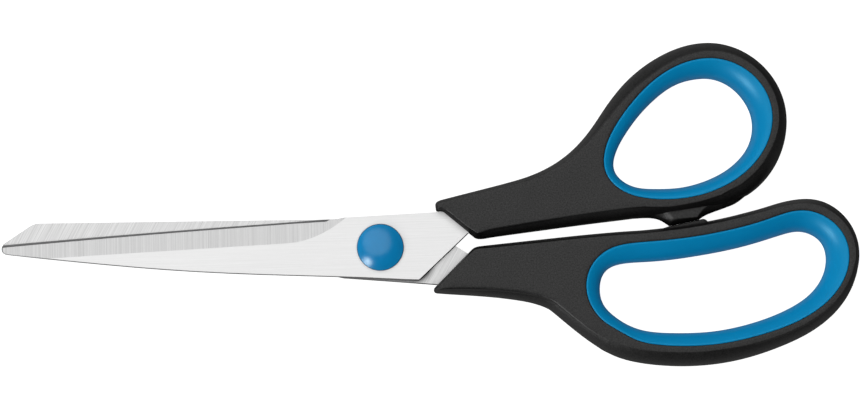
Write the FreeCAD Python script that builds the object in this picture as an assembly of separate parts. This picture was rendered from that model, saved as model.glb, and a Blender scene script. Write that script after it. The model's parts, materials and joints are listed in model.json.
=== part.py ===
"""Left-handed office scissors, closed, lying flat on the backs of their handles.

Units are millimetres. Every outline is drawn in the pivot's frame: X runs from the tips to the
handles, Y from the finger bow to the thumb bow, and Z = 0 is the plane where the two blades meet.
Each finished piece is then moved to the part's own frame, whose origin is the middle of the
footprint. The front half is the front blade with the thumb handle, and the back half is the back
blade with the finger handle.
"""

import FreeCAD, Part

import math
import os

from FreeCAD import Vector

# ---- driving dimensions -------------------------------------------------------------------------

BLADE_THICKNESS = 1.8
ANCHOR_HOLE_RADIUS = 1.6  # holes in the tangs that the handle mouldings fill
BLADE_GAP = 0.04  # running gap between the two blades' flat faces
HANDLE_HALF_THICKNESS = 5.0
TO_PART_FRAME = Vector(-12.3, -10.4, HANDLE_HALF_THICKNESS)

BLADE_INNER_Z = BLADE_GAP / 2
BLADE_OUTER_Z = BLADE_INNER_Z + BLADE_THICKNESS

# grinding of each blade's outer face
GRIND_SLOPE = 0.28  # fall of the ground face per millimetre across the blade
GRIND_WHEEL_RADIUS = 75.0  # curve on which the wheel leaves the face
GRIND_RUNOUT_X = -23.0
GRIND_RUNOUT_ANGLE = 0.2  # radians of that curve, more than the runout needs
GRIND_OVERRUN = 40.0  # how far the wheel reaches beyond the tip
BLADE_WIDTH_LIMIT = 14.0  # more than the widest part of the ground zone
FACET_LEAN = 0.45  # how far the cutting edge's fine facet leans in per millimetre of height
FACET_OVERRUN = 0.5  # how far the facet's cut reaches past the blade's faces
FACET_REACH = 2.0  # and how far out from the edge
FACET_SECTIONS = 12
FACET_FADE = 0.9  # how far the facet swings out of the blade at the end of the edge
FACET_FADE_SHARE = 0.3  # share of the last section's length in which it does so
EDGE_TRIM = 0.07  # what the facet takes off the blade's width at the inner face
EDGE_BREAK = 0.24  # width of the broken corner along the spine and heel

# handle mouldings
EDGE_HEIGHT = 1.8  # height of the rounded zone at each face
SHOULDER_ROUND = 0.45  # how far the rounding pulls the outline in, round the blades
BOW_ROUND = 1.75  # the same on the bows
ROUND_CHANGE = (20.0, 62.0)  # X range in which the shoulder's rounding grows to the bow's
STOP_HALF_THICKNESS = 2.6
STOP_ROOT_DEPTH = 3.0
STOP_GAP = 0.04

# soft lining of the bows
RIM_SHARE = 0.97  # how much of the way to the hard rim the lining's roll reaches at each face
KEY_DEPTH = 1.0  # how far the lining's tongue reaches into the hard bow
KEY_HALF_THICKNESS = 1.6
THUMB_THROAT_TILT = (-0.075, -0.055)  # fall of the narrowest ring per millimetre along X and Y
FINGER_THROAT_TILT = (-0.020, -0.075)

# pivot hardware
SHANK_RADIUS = 2.5
SHANK_FLAT = 2.1  # half width across the two flats that key the screw to the front blade
RUNNING_CLEARANCE = 0.05
HEAD_RADIUS = 4.5
HEAD_HEIGHT = 1.1
CAP_RADIUS = 5.75
CAP_RIM_HEIGHT = 0.9
CAP_HEIGHT = 2.7
CAP_EDGE_ROUND = 0.35
CAP_LIFT = 0.02  # the rim stands this far off the blade
WASHER_RADIUS = 4.3
WASHER_THICKNESS = 0.3
WASHER_PLAY = 0.02
THREAD_RADIUS = 2.0
NUT_RADIUS = 4.6
NUT_HEIGHT = 1.9
NUT_EDGE = 0.4
SPANNER_SLOT_WIDTH = 1.2
SPANNER_SLOT_DEPTH = 0.7
SCREW_END_RECESS = 0.25

# where the lofts have their sections
SPANS_PER_EDGE = 5  # points of an outline that share one edge
EDGE_STATIONS = (0.0, 0.35, 0.65, 0.85, 0.96, 1.0)  # shares of the rounded zone's height
BORE_STATIONS = (-1.0, -0.97, -0.88, -0.72, -0.5, -0.25, 0.0, 0.25, 0.5, 0.72, 0.88, 0.97, 1.0)

# ---- outlines, in the pivot's frame -------------------------------------------------------------

# front blade: the cutting edge runs along its upper side and the spine along its lower side
FRONT_TIP_EDGE = (-92.4, 0.55)
FRONT_EDGE_MIDDLE = (-52.0, 3.95)
FRONT_EDGE_END = (-10.6, 6.95)
FRONT_TIP_NOSE = (-92.85, -0.45)
FRONT_SPINE = [
    (-91.6, -1.9), (-81.9, -2.95), (-68.7, -4.25), (-54.0, -5.5), (-34.4, -6.6), (-14.9, -7.2),
    (9.6, -8.15),
]
FRONT_HEEL_ROUND = 1.0
FRONT_TANG = [
    (21.9, 3.65), (26.0, 5.2), (47.0, 9.6), (48.5, 13.6), (24.0, 11.2), (14.0, 8.65), (-9.0, 7.3),
]
FRONT_TANG_HOLES = [(31.0, 9.0), (41.5, 11.0)]

# back blade: the cutting edge runs along its lower side and the spine along its upper side
BACK_TIP_EDGE = (-92.3, -0.75)
BACK_EDGE_MIDDLE = (-52.0, -4.15)
BACK_EDGE_END = (-10.6, -7.3)
BACK_TIP_NOSE = (-92.55, 0.7)
BACK_CLIP = (-84.9, 5.8)  # corner between the clipped point and the spine
BACK_CLIP_ROUND = 4.0
BACK_SPINE_HEEL = (7.4, 7.1)
BACK_TANG = [
    (21.6, -1.6), (26.0, -3.4), (45.0, -5.6), (46.0, -9.8), (24.0, -9.9), (14.0, -9.3),
    (-9.0, -7.65),
]
BACK_TANG_HOLES = [(30.5, -6.5), (40.0, -7.6)]

# the ground face of each blade starts on this line and falls towards the cutting edge
FRONT_GRIND_LINE = [(-82.9, -2.85), (-27.0, 0.7)]
BACK_GRIND_LINE = [(-82.9, 2.45), (-27.0, -1.1)]

THUMB_OUTLINE = [
    (13.5, 10.1), (13.65, 10.9), (14.3, 11.35), (16.5, 11.9), (21.1, 13.1), (29.8, 15.4),
    (37.0, 17.6), (43.6, 21.0), (49.6, 26.4), (54.6, 33.4), (60.1, 40.4), (67.0, 45.9),
    (75.0, 49.4), (83.0, 49.9), (90.3, 47.2), (96.0, 41.9), (99.2, 34.8), (99.2, 26.6),
    (95.7, 18.3), (89.9, 12.7), (84.5, 10.35), (79.0, 9.55), (72.0, 8.6), (64.5, 7.35),
    (56.0, 6.25), (40.0, 4.15), (24.8, 2.05), (23.9, 2.0), (23.05, 2.35),
]
THUMB_SHOULDER = [(15.3, 8.65), (13.7, 8.75)]
FINGER_OUTLINE = [
    (13.1, -10.75), (13.4, -11.2), (14.1, -11.35), (17.5, -11.55), (24.0, -12.0), (33.5, -13.0),
    (40.0, -14.6), (45.6, -18.0), (51.3, -23.1), (58.3, -27.0), (67.0, -28.8), (77.0, -29.1),
    (88.0, -27.6), (98.0, -24.4), (107.0, -19.8), (113.4, -13.7), (116.8, -6.5), (117.2, 0.9),
    (113.7, 7.7), (107.6, 11.45), (100.2, 11.4), (92.0, 9.1), (84.5, 7.2), (77.5, 5.5), (70.5, 4.6),
    (58.5, 3.75), (42.0, 2.15), (24.6, 0.25), (23.5, 0.05), (22.7, -0.35),
]
FINGER_SHOULDER = [(13.2, -10.1)]

# stops that meet when the scissors close: a boss under the thumb bow and a ledge on the finger bow
STOP_LINE = [(70.8, 5.15), (78.1, 6.7)]
THUMB_BOSS_LEFT = [(62.0, 6.95), (66.6, 7.05), (68.6, 6.55), STOP_LINE[0]]
THUMB_BOSS_RIGHT = [STOP_LINE[1], (81.3, 8.35), (85.2, 9.95), (89.0, 12.2)]
FINGER_LEDGE_LEFT = [(64.0, 4.1), (68.6, 4.5), STOP_LINE[0]]
FINGER_LEDGE_RIGHT = [STOP_LINE[1], (79.3, 6.95), (80.1, 6.5), (80.4, 6.0)]

# bow linings: the rim meets the hard handle and the throat is the narrowest ring of the hole
THUMB_RIM = [
    (79.3, 46.4), (86.8, 45.2), (92.8, 40.8), (96.0, 34.0), (95.5, 27.2), (91.3, 20.1),
    (84.4, 15.0), (75.8, 12.2), (66.9, 11.8), (59.2, 13.8), (55.0, 18.4), (55.1, 24.4),
    (58.3, 31.0), (63.6, 37.8), (70.4, 43.4),
]
THUMB_THROAT = [
    (78.4, 41.2), (84.2, 40.1), (88.6, 36.4), (91.0, 31.0), (90.4, 25.5), (86.6, 20.3),
    (81.0, 16.8), (74.0, 14.7), (67.2, 14.3), (60.9, 15.3), (57.3, 18.9), (57.9, 23.6),
    (60.7, 28.6), (65.0, 34.0), (71.2, 39.1),
]
FINGER_RIM = [
    (102.8, 9.2), (109.9, 7.1), (114.3, 1.8), (114.6, -5.3), (110.5, -12.4), (103.4, -17.6),
    (93.5, -21.4), (83.0, -23.7), (72.3, -24.2), (62.5, -22.8), (54.8, -18.4), (50.6, -11.8),
    (51.2, -5.2), (55.8, -0.4), (64.0, 1.3), (75.0, 2.4), (87.0, 4.65), (96.0, 7.3),
]
FINGER_THROAT = [
    (101.4, 3.7), (105.8, 2.9), (108.7, -0.2), (108.9, -5.5), (105.6, -11.2), (99.6, -15.3),
    (91.0, -18.6), (81.5, -20.6), (72.0, -21.0), (63.5, -20.1), (57.4, -16.9), (54.1, -12.5),
    (54.4, -7.2), (58.0, -4.4), (66.0, -3.6), (76.5, -2.4), (88.0, -0.15), (96.0, 2.2),
]

ORIGIN = Vector(0, 0, 0)
UP = Vector(0, 0, 1)
NEAR = 0.05  # millimetres within which a point counts as being at a corner
PATH_REACH = 0.45  # and within which an edge counts as following a path with rounded corners


# ---- helpers ------------------------------------------------------------------------------------

def point(xy, z=0.0):
    return Vector(xy[0], xy[1], z)


def line(*corners):
    """Straight edges through the corners."""
    return [Part.makeLine(point(a), point(b)) for a, b in zip(corners, corners[1:])]


def distances_along(points):
    """The running distance to each point, used as the curve's parameter there."""
    distances = [0.0]
    for a, b in zip(points, points[1:]):
        distances.append(distances[-1] + math.dist(a[:2], b[:2]))
    return distances


def smooth_edges(corners, distances, closed=False):
    """Edges of one smooth curve through the corners; short edges keep every face simple."""
    curve = Part.BSplineCurve()
    curve.interpolate(Points=corners, Parameters=distances, PeriodicFlag=closed)
    marks = curve.getKnots()
    stops = marks[:-1:SPANS_PER_EDGE] + [marks[-1]]
    return [curve.toShape(start, end) for start, end in zip(stops, stops[1:])]


def spline(points):
    """One smooth open line through the points."""
    return smooth_edges([point(p) for p in points], distances_along(points))


def ring(points, z):
    """One smooth closed outline through the points."""
    distances = distances_along(points + points[:1])
    return Part.Wire(smooth_edges([point(p, z) for p in points], distances, closed=True))


def arc(start, middle, end):
    return [Part.Arc(point(start), point(middle), point(end)).toShape()]


def slab(edges, low, high):
    """The solid between two heights whose outline is the closed chain of edges."""
    face = Part.Face(Part.Wire(Part.__sortEdges__(edges)))
    face.translate(Vector(0, 0, low))
    return face.extrude(Vector(0, 0, high - low))


def disc(radius, low, high, centre=(0, 0)):
    return Part.makeCylinder(radius, high - low, point(centre, low))


def keyed_bar(low, high):
    """A round bar with two flats: the part of the screw that turns with the front blade."""
    flats = Part.makeBox(
        2 * SHANK_RADIUS, 2 * SHANK_FLAT, high - low, Vector(-SHANK_RADIUS, -SHANK_FLAT, low),
    )
    return disc(SHANK_RADIUS, low, high).common(flats)


def upright_edges_at(solid, corner):
    """The solid's upright edges that stand on the corner."""
    return [e for e in solid.Edges if all(math.dist(v.Point[:2], corner) < NEAR for v in e.Vertexes)]


def flip(shape):
    """Half a turn about the X axis: what lay above the meeting plane now lies below it."""
    return shape.rotated(ORIGIN, Vector(1, 0, 0), 180)


def mirror_y(points):
    return [(x, -y) for x, y in points]


def one_solid(shape):
    """The single solid in a boolean's result."""
    solids = shape.removeSplitter().Solids
    if len(solids) != 1:
        raise ValueError(f"expected one solid and got {len(solids)}")
    return solids[0]


# ---- blades -------------------------------------------------------------------------------------

def grind_turn(grind_line):
    """The grind line's angle from the X axis."""
    (x0, y0), (x1, y1) = grind_line
    return math.atan2(y1 - y0, x1 - x0)


def grinding_wheel(grind_line):
    """The volume that grinding removes: a sloping face that starts on the line, and its runout."""
    (x0, y0), turn = grind_line[0], grind_turn(grind_line)
    flat_length = (GRIND_RUNOUT_X - x0) / math.cos(turn)

    def runout(angle):
        """A point of the large arc on which the wheel climbs out of the face."""
        climb = GRIND_WHEEL_RADIUS * (1 - math.cos(angle))
        return Vector(flat_length + GRIND_WHEEL_RADIUS * math.sin(angle), 0, climb)

    end = runout(GRIND_RUNOUT_ANGLE)
    top = end.z + BLADE_THICKNESS
    far_corners = [Vector(end.x, 0, top), Vector(-GRIND_OVERRUN, 0, top), Vector(-GRIND_OVERRUN, 0, 0)]
    runout_edge = Part.Arc(runout(0), runout(GRIND_RUNOUT_ANGLE / 2), end).toShape()
    profile = Part.Wire([runout_edge] + Part.makePolygon([end, *far_corners, runout(0)]).Edges)
    wheel = Part.Face(profile).extrude(Vector(0, 1, -GRIND_SLOPE) * BLADE_WIDTH_LIMIT)
    wheel.rotate(ORIGIN, UP, math.degrees(turn))
    wheel.translate(Vector(x0, y0, BLADE_OUTER_Z))
    return wheel


def edge_facet(edge, grind_line):
    """What lies outside a facet that leans in along the cutting edge; cutting it leaves the facet.

    Where the grinding wheel climbs out of the face the facet climbs with it, so that it keeps its
    width, and it runs out at the end of the edge.
    """
    low = BLADE_INNER_Z - FACET_OVERRUN
    height = BLADE_THICKNESS + 2 * FACET_OVERRUN
    turn = grind_turn(grind_line)

    def section(at, along, fade):
        inward = Vector(along.y, -along.x, 0).normalize()
        past = max(0, (at.x - GRIND_RUNOUT_X) / math.cos(turn))
        climb = GRIND_WHEEL_RADIUS - math.sqrt(GRIND_WHEEL_RADIUS ** 2 - past ** 2)
        trim = EDGE_TRIM - FACET_LEAN * (climb + FACET_OVERRUN) - fade
        foot = at + UP * low + inward * trim
        top = foot + (inward * FACET_LEAN + UP) * height
        outer = at + UP * low - inward * FACET_REACH
        return Part.makePolygon([foot, outer, outer + UP * height, top, foot])

    marks = arc(*edge)[0].discretize(FACET_SECTIONS)
    marks.insert(-1, marks[-1] + (marks[-2] - marks[-1]) * FACET_FADE_SHARE)
    before, after = marks[0] * 2 - marks[1], marks[-1] * 2 - marks[-2]
    path = [before, *marks, after]
    fades = [0] * (len(marks) - 1) + [FACET_FADE]
    sections = [
        section(at, path[i + 2] - path[i], fade) for i, (at, fade) in enumerate(zip(marks, fades))
    ]
    return Part.makeLoft([section(before, marks[0] - before, 0), *sections], True, True)


def break_corner(body, path, low, high):
    """Takes the sharp corner off a blade along a path, where its edges lie between two heights."""
    guide = Part.Wire(Part.__sortEdges__(path))

    def on_path(edge):
        box, middle = edge.BoundBox, edge.valueAt((edge.FirstParameter + edge.LastParameter) / 2)
        if box.ZMin < low - NEAR or box.ZMax > high + NEAR or box.ZLength > 0.5 * edge.Length:
            return False
        middle.z = 0
        return guide.distToShape(Part.Vertex(middle))[0] < PATH_REACH

    return body.makeChamfer(EDGE_BREAK, [edge for edge in body.Edges if on_path(edge)])


def blade(edge, spine_edges, tang, holes, grind_line):
    """A blade with its outer face up: cutting edge on +Y, inner face just above the meeting plane."""
    outline = arc(*edge) + spine_edges + line(edge[2], *reversed(tang))
    body = slab(outline, BLADE_INNER_Z, BLADE_OUTER_Z)
    body = body.cut(grinding_wheel(grind_line))
    body = body.cut(edge_facet(edge, grind_line))
    for hole in holes:
        body = body.cut(disc(ANCHOR_HOLE_RADIUS, 0, BLADE_OUTER_Z, hole))
    return body


def front_blade():
    tip = arc(FRONT_TIP_EDGE, FRONT_TIP_NOSE, FRONT_SPINE[0])
    heel = line(FRONT_SPINE[-1], FRONT_TANG[0])
    spine_edges = tip + spline(FRONT_SPINE) + heel
    edge = (FRONT_TIP_EDGE, FRONT_EDGE_MIDDLE, FRONT_EDGE_END)
    body = blade(edge, spine_edges, FRONT_TANG, FRONT_TANG_HOLES, FRONT_GRIND_LINE)
    body = body.makeFillet(FRONT_HEEL_ROUND, upright_edges_at(body, FRONT_SPINE[-1]))
    body = break_corner(body, spine_edges, BLADE_INNER_Z + EDGE_BREAK, BLADE_OUTER_Z)
    return one_solid(body.cut(keyed_bar(0, BLADE_OUTER_Z)))


def back_blade():
    """Drawn turned over, with its outer face up, and flipped into place below the meeting plane."""
    edge = mirror_y([BACK_TIP_EDGE, BACK_EDGE_MIDDLE, BACK_EDGE_END])
    nose, clip, heel, first_tang = mirror_y([BACK_TIP_NOSE, BACK_CLIP, BACK_SPINE_HEEL, BACK_TANG[0]])
    spine_edges = line(edge[0], nose, clip, heel, first_tang)
    holes = mirror_y(BACK_TANG_HOLES)
    body = blade(edge, spine_edges, mirror_y(BACK_TANG), holes, mirror_y(BACK_GRIND_LINE))
    body = body.makeFillet(BACK_CLIP_ROUND, upright_edges_at(body, clip))
    below_heel = line(*mirror_y(BACK_TANG)[-2:])
    body = break_corner(body, below_heel, BLADE_INNER_Z, BLADE_INNER_Z)
    body = body.cut(disc(SHANK_RADIUS + RUNNING_CLEARANCE, 0, BLADE_OUTER_Z))
    return one_solid(flip(body))


# ---- handles ------------------------------------------------------------------------------------

def edge_round(xy):
    """How far the rounding pulls the outline in at a point."""
    start, end = ROUND_CHANGE
    share = min(max((xy[0] - start) / (end - start), 0.0), 1.0)
    return SHOULDER_ROUND + (BOW_ROUND - SHOULDER_ROUND) * share


def inward_directions(points, distances):
    """Unit vectors square to the outline that point into it."""
    curve = Part.BSplineCurve()
    curve.interpolate(Points=[point(p) for p in points], Parameters=distances)
    area = sum(x0 * y1 - x1 * y0 for (x0, y0), (x1, y1) in zip(points, points[1:] + points[:1]))
    side = 1 if area > 0 else -1
    tangents = [curve.tangent(distance)[0] for distance in distances]
    return [Vector(-t.y, t.x, 0).normalize() * side for t in tangents]


def rounded_zone(outline, shoulder):
    """The upper rounded zone of a handle, lofted through outlines that are pulled in more and more."""
    distances = distances_along(outline)
    inward = inward_directions(outline, distances)
    wires = []
    for climb in EDGE_STATIONS:
        pull = 1 - math.sqrt(1 - climb ** 2)
        z = HANDLE_HALF_THICKNESS - EDGE_HEIGHT * (1 - climb)
        side = [point(p, z) + n * edge_round(p) * pull for p, n in zip(outline, inward)]
        front = [point(p, z) + Vector(SHOULDER_ROUND * pull, 0, 0) for p in shoulder]
        shoulder_edges = Part.makePolygon([side[-1], *front, side[0]]).Edges
        wires.append(Part.Wire(smooth_edges(side, distances) + shoulder_edges))
    return Part.makeLoft(wires, True, True)


def handle_body(outline, shoulder):
    """A bow and its shank: upright walls in the middle and rounded zones at both faces."""
    zone = rounded_zone(outline, shoulder)
    edges = spline(outline) + line(outline[-1], *shoulder, outline[0])
    wall_top = HANDLE_HALF_THICKNESS - EDGE_HEIGHT
    middle = slab(edges, -wall_top, wall_top)
    return middle.fuse([zone, zone.mirror(ORIGIN, UP)])


def bow_cavity(rim):
    """The space in the hard bow that the soft lining fills: a straight hole with a key groove."""
    hole = ring(rim, -HANDLE_HALF_THICKNESS)
    straight = Part.Face(hole).extrude(Vector(0, 0, 2 * HANDLE_HALF_THICKNESS))
    groove = Part.Face(hole).makeOffset2D(KEY_DEPTH).toNurbs()  # STEP can't hold an offset curve
    groove.translate(Vector(0, 0, HANDLE_HALF_THICKNESS - KEY_HALF_THICKNESS))
    return straight.fuse(groove.extrude(Vector(0, 0, 2 * KEY_HALF_THICKNESS)))


def stop_block(left, right, rise):
    """A stop's flat moulding; rise points from the stop line into the handle that carries it."""
    root = [(x, y + rise * STOP_ROOT_DEPTH) for x, y in (right[-1], left[0])]
    edges = spline(left) + line(left[-1], right[0]) + spline(right) + line(right[-1], *root, left[0])
    body = slab(edges, -STOP_HALF_THICKNESS, STOP_HALF_THICKNESS)
    body.translate(Vector(0, rise * STOP_GAP / 2, 0))
    return body


def thumb_handle(own_blade):
    body = handle_body(THUMB_OUTLINE, THUMB_SHOULDER)
    body = body.fuse(stop_block(THUMB_BOSS_LEFT, THUMB_BOSS_RIGHT, 1))
    return one_solid(body.cut(bow_cavity(THUMB_RIM)).cut(own_blade))


def finger_handle(own_blade):
    body = handle_body(FINGER_OUTLINE, FINGER_SHOULDER)
    body = body.fuse(stop_block(FINGER_LEDGE_LEFT, FINGER_LEDGE_RIGHT, -1))
    return one_solid(body.cut(bow_cavity(FINGER_RIM)).cut(own_blade))


# ---- bow linings --------------------------------------------------------------------------------

def bore(rim, throat, tilt):
    """The hole in a lining: it opens from the tilted throat to the rim on both faces."""
    centre_x = sum(x for x, y in throat) / len(throat)
    centre_y = sum(y for x, y in throat) / len(throat)
    distances = distances_along(rim + rim[:1])
    wires = []
    for share in BORE_STATIONS:
        flare = RIM_SHARE * (1 - math.sqrt(1 - share ** 2))
        face_z = math.copysign(HANDLE_HALF_THICKNESS, share)
        points = []
        for (rim_x, rim_y), (x, y) in zip(rim, throat):
            throat_z = tilt[0] * (x - centre_x) + tilt[1] * (y - centre_y)
            z = throat_z + (face_z - throat_z) * abs(share)
            points.append(Vector(x + (rim_x - x) * flare, y + (rim_y - y) * flare, z))
        wires.append(Part.Wire(smooth_edges(points, distances, closed=True)))
    return Part.makeLoft(wires, True, True)


def grip(rim, throat, tilt):
    return one_solid(bow_cavity(rim).cut(bore(rim, throat, tilt)))


# ---- pivot hardware -----------------------------------------------------------------------------

WASHER_TOP = -BLADE_OUTER_Z - WASHER_PLAY
NUT_TOP = WASHER_TOP - WASHER_THICKNESS - WASHER_PLAY
NUT_BOTTOM = NUT_TOP - NUT_HEIGHT


def pivot_screw():
    head = disc(HEAD_RADIUS, BLADE_OUTER_Z, BLADE_OUTER_Z + HEAD_HEIGHT)
    shank = disc(SHANK_RADIUS, NUT_TOP, 0)
    thread = disc(THREAD_RADIUS, NUT_BOTTOM + SCREW_END_RECESS, NUT_TOP)
    return one_solid(head.fuse([keyed_bar(0, BLADE_OUTER_Z), shank, thread]))


def pivot_cap():
    """A plain dome that snaps over the screw's head."""
    base = BLADE_OUTER_Z + CAP_LIFT
    rise = CAP_HEIGHT - CAP_RIM_HEIGHT
    dome_radius = (CAP_RADIUS ** 2 + rise ** 2) / (2 * rise)
    dome = Part.makeSphere(dome_radius, Vector(0, 0, base + CAP_HEIGHT - dome_radius))
    body = disc(CAP_RADIUS, base, base + CAP_HEIGHT).common(dome)
    shoulder = [e for e in body.Edges if abs(e.BoundBox.ZMin - base - CAP_RIM_HEIGHT) < NEAR]
    level_shoulder = [e for e in shoulder if e.BoundBox.ZLength < NEAR]
    body = body.makeFillet(CAP_EDGE_ROUND, level_shoulder)
    return one_solid(body.cut(disc(HEAD_RADIUS, BLADE_OUTER_Z, BLADE_OUTER_Z + HEAD_HEIGHT)))


def tension_washer():
    bottom = WASHER_TOP - WASHER_THICKNESS
    hole = disc(SHANK_RADIUS + RUNNING_CLEARANCE, bottom, WASHER_TOP)
    return disc(WASHER_RADIUS, bottom, WASHER_TOP).cut(hole)


def pivot_nut():
    """A round nut with two slots in its back for a pin spanner."""
    body = disc(NUT_RADIUS, NUT_BOTTOM, NUT_TOP)
    body = body.makeChamfer(NUT_EDGE, [e for e in body.Edges if e.BoundBox.ZMax < NUT_BOTTOM + NEAR])
    slot_corner = Vector(-NUT_RADIUS, -SPANNER_SLOT_WIDTH / 2, NUT_BOTTOM)
    slot = Part.makeBox(2 * NUT_RADIUS, SPANNER_SLOT_WIDTH, SPANNER_SLOT_DEPTH, slot_corner)
    return one_solid(body.cut(slot).cut(disc(THREAD_RADIUS, NUT_BOTTOM, NUT_TOP)))


# ---- assembly -----------------------------------------------------------------------------------

def scissors():
    front, back = front_blade(), back_blade()
    return {
        "front_blade": front,
        "back_blade": back,
        "thumb_handle": thumb_handle(front),
        "finger_handle": finger_handle(back),
        "thumb_grip": grip(THUMB_RIM, THUMB_THROAT, THUMB_THROAT_TILT),
        "finger_grip": grip(FINGER_RIM, FINGER_THROAT, FINGER_THROAT_TILT),
        "pivot_screw": pivot_screw(),
        "pivot_cap": pivot_cap(),
        "tension_washer": tension_washer(),
        "pivot_nut": pivot_nut(),
    }


os.makedirs("parts", exist_ok=True)
for name, shape in scissors().items():
    shape.translate(TO_PART_FRAME)
    shape.exportStep(f"parts/{name}.step")
    print(name, "valid", shape.isValid(), "volume", round(shape.Volume, 1))
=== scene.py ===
"""Looks for the left-handed office scissors: moulded handles, soft linings, cap, steel, studio.

The shapes' lengths are millimetres in the part's own frame, and become metres in make_object.
Materials, lamps and the camera are in metres.
"""

import json
import math

import bmesh
import bpy
import numpy as np
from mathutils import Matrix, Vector, geometry

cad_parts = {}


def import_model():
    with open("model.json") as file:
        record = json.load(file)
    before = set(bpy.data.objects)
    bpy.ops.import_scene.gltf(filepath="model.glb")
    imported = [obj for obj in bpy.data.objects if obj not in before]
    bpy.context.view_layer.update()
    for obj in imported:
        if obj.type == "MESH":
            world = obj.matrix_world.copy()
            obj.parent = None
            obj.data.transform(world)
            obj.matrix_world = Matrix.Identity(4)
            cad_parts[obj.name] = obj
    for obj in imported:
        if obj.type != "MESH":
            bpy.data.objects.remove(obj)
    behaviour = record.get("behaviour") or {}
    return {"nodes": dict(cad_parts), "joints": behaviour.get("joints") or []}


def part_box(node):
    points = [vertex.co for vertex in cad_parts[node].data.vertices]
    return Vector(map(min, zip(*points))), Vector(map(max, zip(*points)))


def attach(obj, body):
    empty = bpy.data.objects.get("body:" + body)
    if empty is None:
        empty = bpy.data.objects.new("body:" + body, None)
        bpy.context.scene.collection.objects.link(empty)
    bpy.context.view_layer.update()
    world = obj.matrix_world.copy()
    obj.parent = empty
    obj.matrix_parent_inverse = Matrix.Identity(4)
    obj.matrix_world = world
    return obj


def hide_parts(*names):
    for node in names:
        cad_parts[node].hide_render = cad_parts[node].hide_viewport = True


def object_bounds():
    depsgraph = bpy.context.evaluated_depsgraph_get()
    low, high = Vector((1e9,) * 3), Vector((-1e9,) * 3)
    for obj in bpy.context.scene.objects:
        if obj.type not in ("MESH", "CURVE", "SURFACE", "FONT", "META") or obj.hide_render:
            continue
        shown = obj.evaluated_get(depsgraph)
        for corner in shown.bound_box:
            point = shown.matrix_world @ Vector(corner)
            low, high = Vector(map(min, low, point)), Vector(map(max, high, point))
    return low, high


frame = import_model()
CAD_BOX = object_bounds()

MM = 0.001
PIVOT = np.array(frame["joints"][0]["pos_m"]) / MM
MID_Z = PIVOT[2]  # the handles are symmetric about this level
TOP_Z = CAD_BOX[1].z / MM
HALF_THICKNESS = TOP_Z - MID_Z


# ---- outlines read from the frame ---------------------------------------------------------------

UPRIGHT_SLACK = 0.002  # an edge counts as upright when its ends lie this close in plan
FEWEST_POINTS = 8  # a cut with no more points than this isn't an outline
NEAR_REPEAT = 0.02  # points closer than this to the one before are dropped
CORNER_DEG = 9.0  # where an outline turns by more than this it has a corner
SPAN_STEPS = 16  # fine points along each span of a smooth curve
FACING_BLEND = 0.035  # the facing of two loops is evened out over this share of a loop


def outlines(node, level, upright_only=True):
    """Closed outlines where a level plane cuts a node, longest first, as anticlockwise points."""
    mesh = frame["nodes"][node].data
    mesh.calc_loop_triangles()
    corners = np.empty(len(mesh.vertices) * 3)
    mesh.vertices.foreach_get("co", corners)
    corners = np.round(corners.reshape(-1, 3) / MM, 4)
    places, welded = np.unique(corners, axis=0, return_inverse=True)
    triangles = np.empty(len(mesh.loop_triangles) * 3, np.int32)
    mesh.loop_triangles.foreach_get("vertices", triangles)
    triangles = welded.ravel()[triangles].reshape(-1, 3)
    above = places[:, 2] > level
    links = {}
    for triangle in triangles[np.isin(above[triangles].sum(1), (1, 2))]:
        cut = [
            tuple(sorted((int(a), int(b))))
            for a, b in zip(triangle, np.roll(triangle, -1))
            if above[a] != above[b]
        ]
        for here, there in (cut, cut[::-1]):
            links.setdefault(here, []).append(there)
    found, left = [], set(links)
    while left:
        chain, at = [], min(left)
        while at is not None:
            left.discard(at)
            chain.append(at)
            at = next((edge for edge in links[at] if edge in left), None)
        low, high = (places[[edge[i] for edge in chain]] for i in (0, 1))
        share = (level - low[:, 2:]) / (high[:, 2:] - low[:, 2:])
        points = (low + (high - low) * share)[:, :2]
        if upright_only:
            points = points[np.abs(low[:, :2] - high[:, :2]).max(1) < UPRIGHT_SLACK]
        if len(points) > FEWEST_POINTS:
            found.append(anticlockwise(spread_out(points)))
    return sorted(found, key=lambda loop: -perimeter(loop))


def spread_out(points):
    """The loop without points that all but coincide with the one before."""
    step = np.linalg.norm(points - np.roll(points, 1, 0), axis=1)
    return points[step > NEAR_REPEAT]


def anticlockwise(loop):
    """The loop, turned round if it ran clockwise."""
    x, y = loop.T
    area = np.sum(x * np.roll(y, -1) - np.roll(x, -1) * y)
    return loop if area > 0 else loop[::-1]


def perimeter(loop):
    return np.linalg.norm(np.roll(loop, -1, 0) - loop, axis=1).sum()


def blur(values, sigma):
    """Values round a closed loop, smoothed over sigma steps."""
    frequency = np.fft.fftfreq(len(values))
    soften = np.exp(-2 * (math.pi * frequency * sigma) ** 2)
    soften = soften[:, None] if values.ndim > 1 else soften
    return np.real(np.fft.ifft(np.fft.fft(values, axis=0) * soften, axis=0))


def even_loop(loop, count, rounding):
    """The outline as evenly spaced points on a smooth curve, with its corners rounded a little."""
    along = np.roll(loop, -1, 0) - loop
    length = np.linalg.norm(along, axis=1, keepdims=True)
    heading = along / length
    before, before_length = np.roll(heading, 1, 0), np.roll(length, 1, 0)
    tangent = before * length + heading * before_length
    tangent /= np.linalg.norm(tangent, axis=1, keepdims=True)
    corner = np.sum(before * heading, axis=1) < math.cos(math.radians(CORNER_DEG))
    leave = np.where(corner[:, None], heading, tangent)
    arrive = np.roll(np.where(corner[:, None], before, tangent), -1, 0)
    fine = hermite(loop, np.roll(loop, -1, 0), leave * length, arrive * length)
    fine = np.vstack([fine, fine[:1]])
    even = evenly(fine, count + 1)[:-1]
    return blur(even, rounding / (perimeter(even) / count))


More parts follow.
